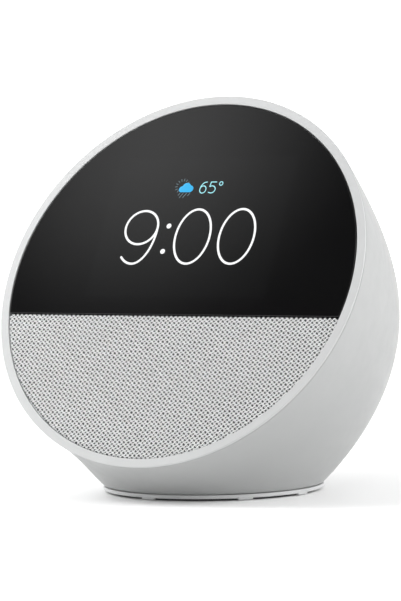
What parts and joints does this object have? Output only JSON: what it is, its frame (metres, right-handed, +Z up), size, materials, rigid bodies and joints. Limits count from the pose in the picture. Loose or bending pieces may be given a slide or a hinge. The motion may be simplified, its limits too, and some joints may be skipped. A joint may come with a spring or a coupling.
{
  "type": "smart display",
  "caption": "Tabletop smart display: round tilted face with a half-disc black screen over a woven speaker grille, on a domed pale housing with top rear buttons and a rear power inlet.",
  "frame": {"origin": "on the table, under the middle of the object's box", "axes": "+Z up, the face looks towards -Y, +X to the right of someone looking at the face, the dome is towards +Y"},
  "size_m": [0.113, 0.1028, 0.11],
  "materials": {
    "shell_white": "fine matt moulded",
    "ring_white": "satin moulded",
    "cover_glass": "black backed, polished",
    "screen": "polished",
    "grille_cloth": "open plain weave",
    "dark_plastic": "moulded",
    "grey_plastic": "moulded",
    "rubber": "matt",
    "foam": "open cell",
    "steel": "plated",
    "aluminium": "pressed sheet",
    "copper": "enamelled wire",
    "circuit_board": "solder mask",
    "flex": "polyimide film",
    "paper_cone": "pressed pulp",
    "ferrite": "sintered"
  },
  "bodies": {
    "housing": {"antenna": "flex", "base_cap": "ring_white", "base_screw_1": "steel", "base_screw_2": "steel", "base_screw_3": "steel", "base_weight": "steel", "bezel_ring": "ring_white", "board_screw_1": "steel", "board_screw_2": "steel", "board_screw_3": "steel", "board_screw_4": "steel", "button_board": "circuit_board", "button_bracket": "grey_plastic", "button_flex": "flex", "chassis_screw_1": "steel", "chassis_screw_2": "steel", "chassis_screw_3": "steel", "chassis_screw_4": "steel", "cover_glass": "cover_glass", "display_backlight": "grey_plastic", "display_bracket": "steel", "display_flex": "flex", "display_panel": "screen", "foot_pad": "rubber", "front_chassis": "grey_plastic", "grille_cloth": "grille_cloth", "grille_frame": "dark_plastic", "heat_spreader": "aluminium", "jack_cable": "dark_plastic", "jack_collar": "dark_plastic", "main_board": "circuit_board", "mic_gasket_left": "rubber", "mic_gasket_right": "rubber", "mic_left": "steel", "mic_right": "steel", "power_jack": "ferrite", "processor_chip": "dark_plastic", "radio_module": "aluminium", "rear_shell": "shell_white", "shield_can": "aluminium", "speaker_basket": "steel", "speaker_chamber": "dark_plastic", "speaker_front_plate": "steel", "speaker_gasket": "foam", "speaker_magnet": "ferrite", "speaker_screw_1": "steel", "speaker_screw_2": "steel", "speaker_screw_3": "steel", "speaker_screw_4": "steel", "speaker_spider": "grille_cloth", "speaker_surround": "rubber", "speaker_yoke": "steel", "switch_mic_off": "steel", "switch_volume_down": "steel", "switch_volume_up": "steel"},
    "speaker_motion": {"speaker_cone": "paper_cone", "voice_coil": "copper"},
    "volume_up": {"button_volume_up": "shell_white"},
    "volume_down": {"button_volume_down": "shell_white"},
    "mic_off": {"button_mic_off": "shell_white"}
  },
  "joints": [
    {"name": "volume_up_press", "type": "slide", "parent": "housing", "child": "volume_up", "axis": [-0.3351, -0.5948, -0.7307], "range_m": [0, 0.0005], "stiffness_N_per_m": 1500},
    {"name": "mic_off_press", "type": "slide", "parent": "housing", "child": "mic_off", "axis": [0, -0.6245, -0.7811], "range_m": [0, 0.0005], "stiffness_N_per_m": 1500},
    {"name": "volume_down_press", "type": "slide", "parent": "housing", "child": "volume_down", "axis": [0.3351, -0.5948, -0.7307], "range_m": [0, 0.0005], "stiffness_N_per_m": 1500},
    {"name": "speaker_stroke", "type": "slide", "parent": "housing", "child": "speaker_motion", "axis": [0, -0.8829, 0.4695], "range_m": [-0.0008, 0.0008], "stiffness_N_per_m": 2500}
  ]
}
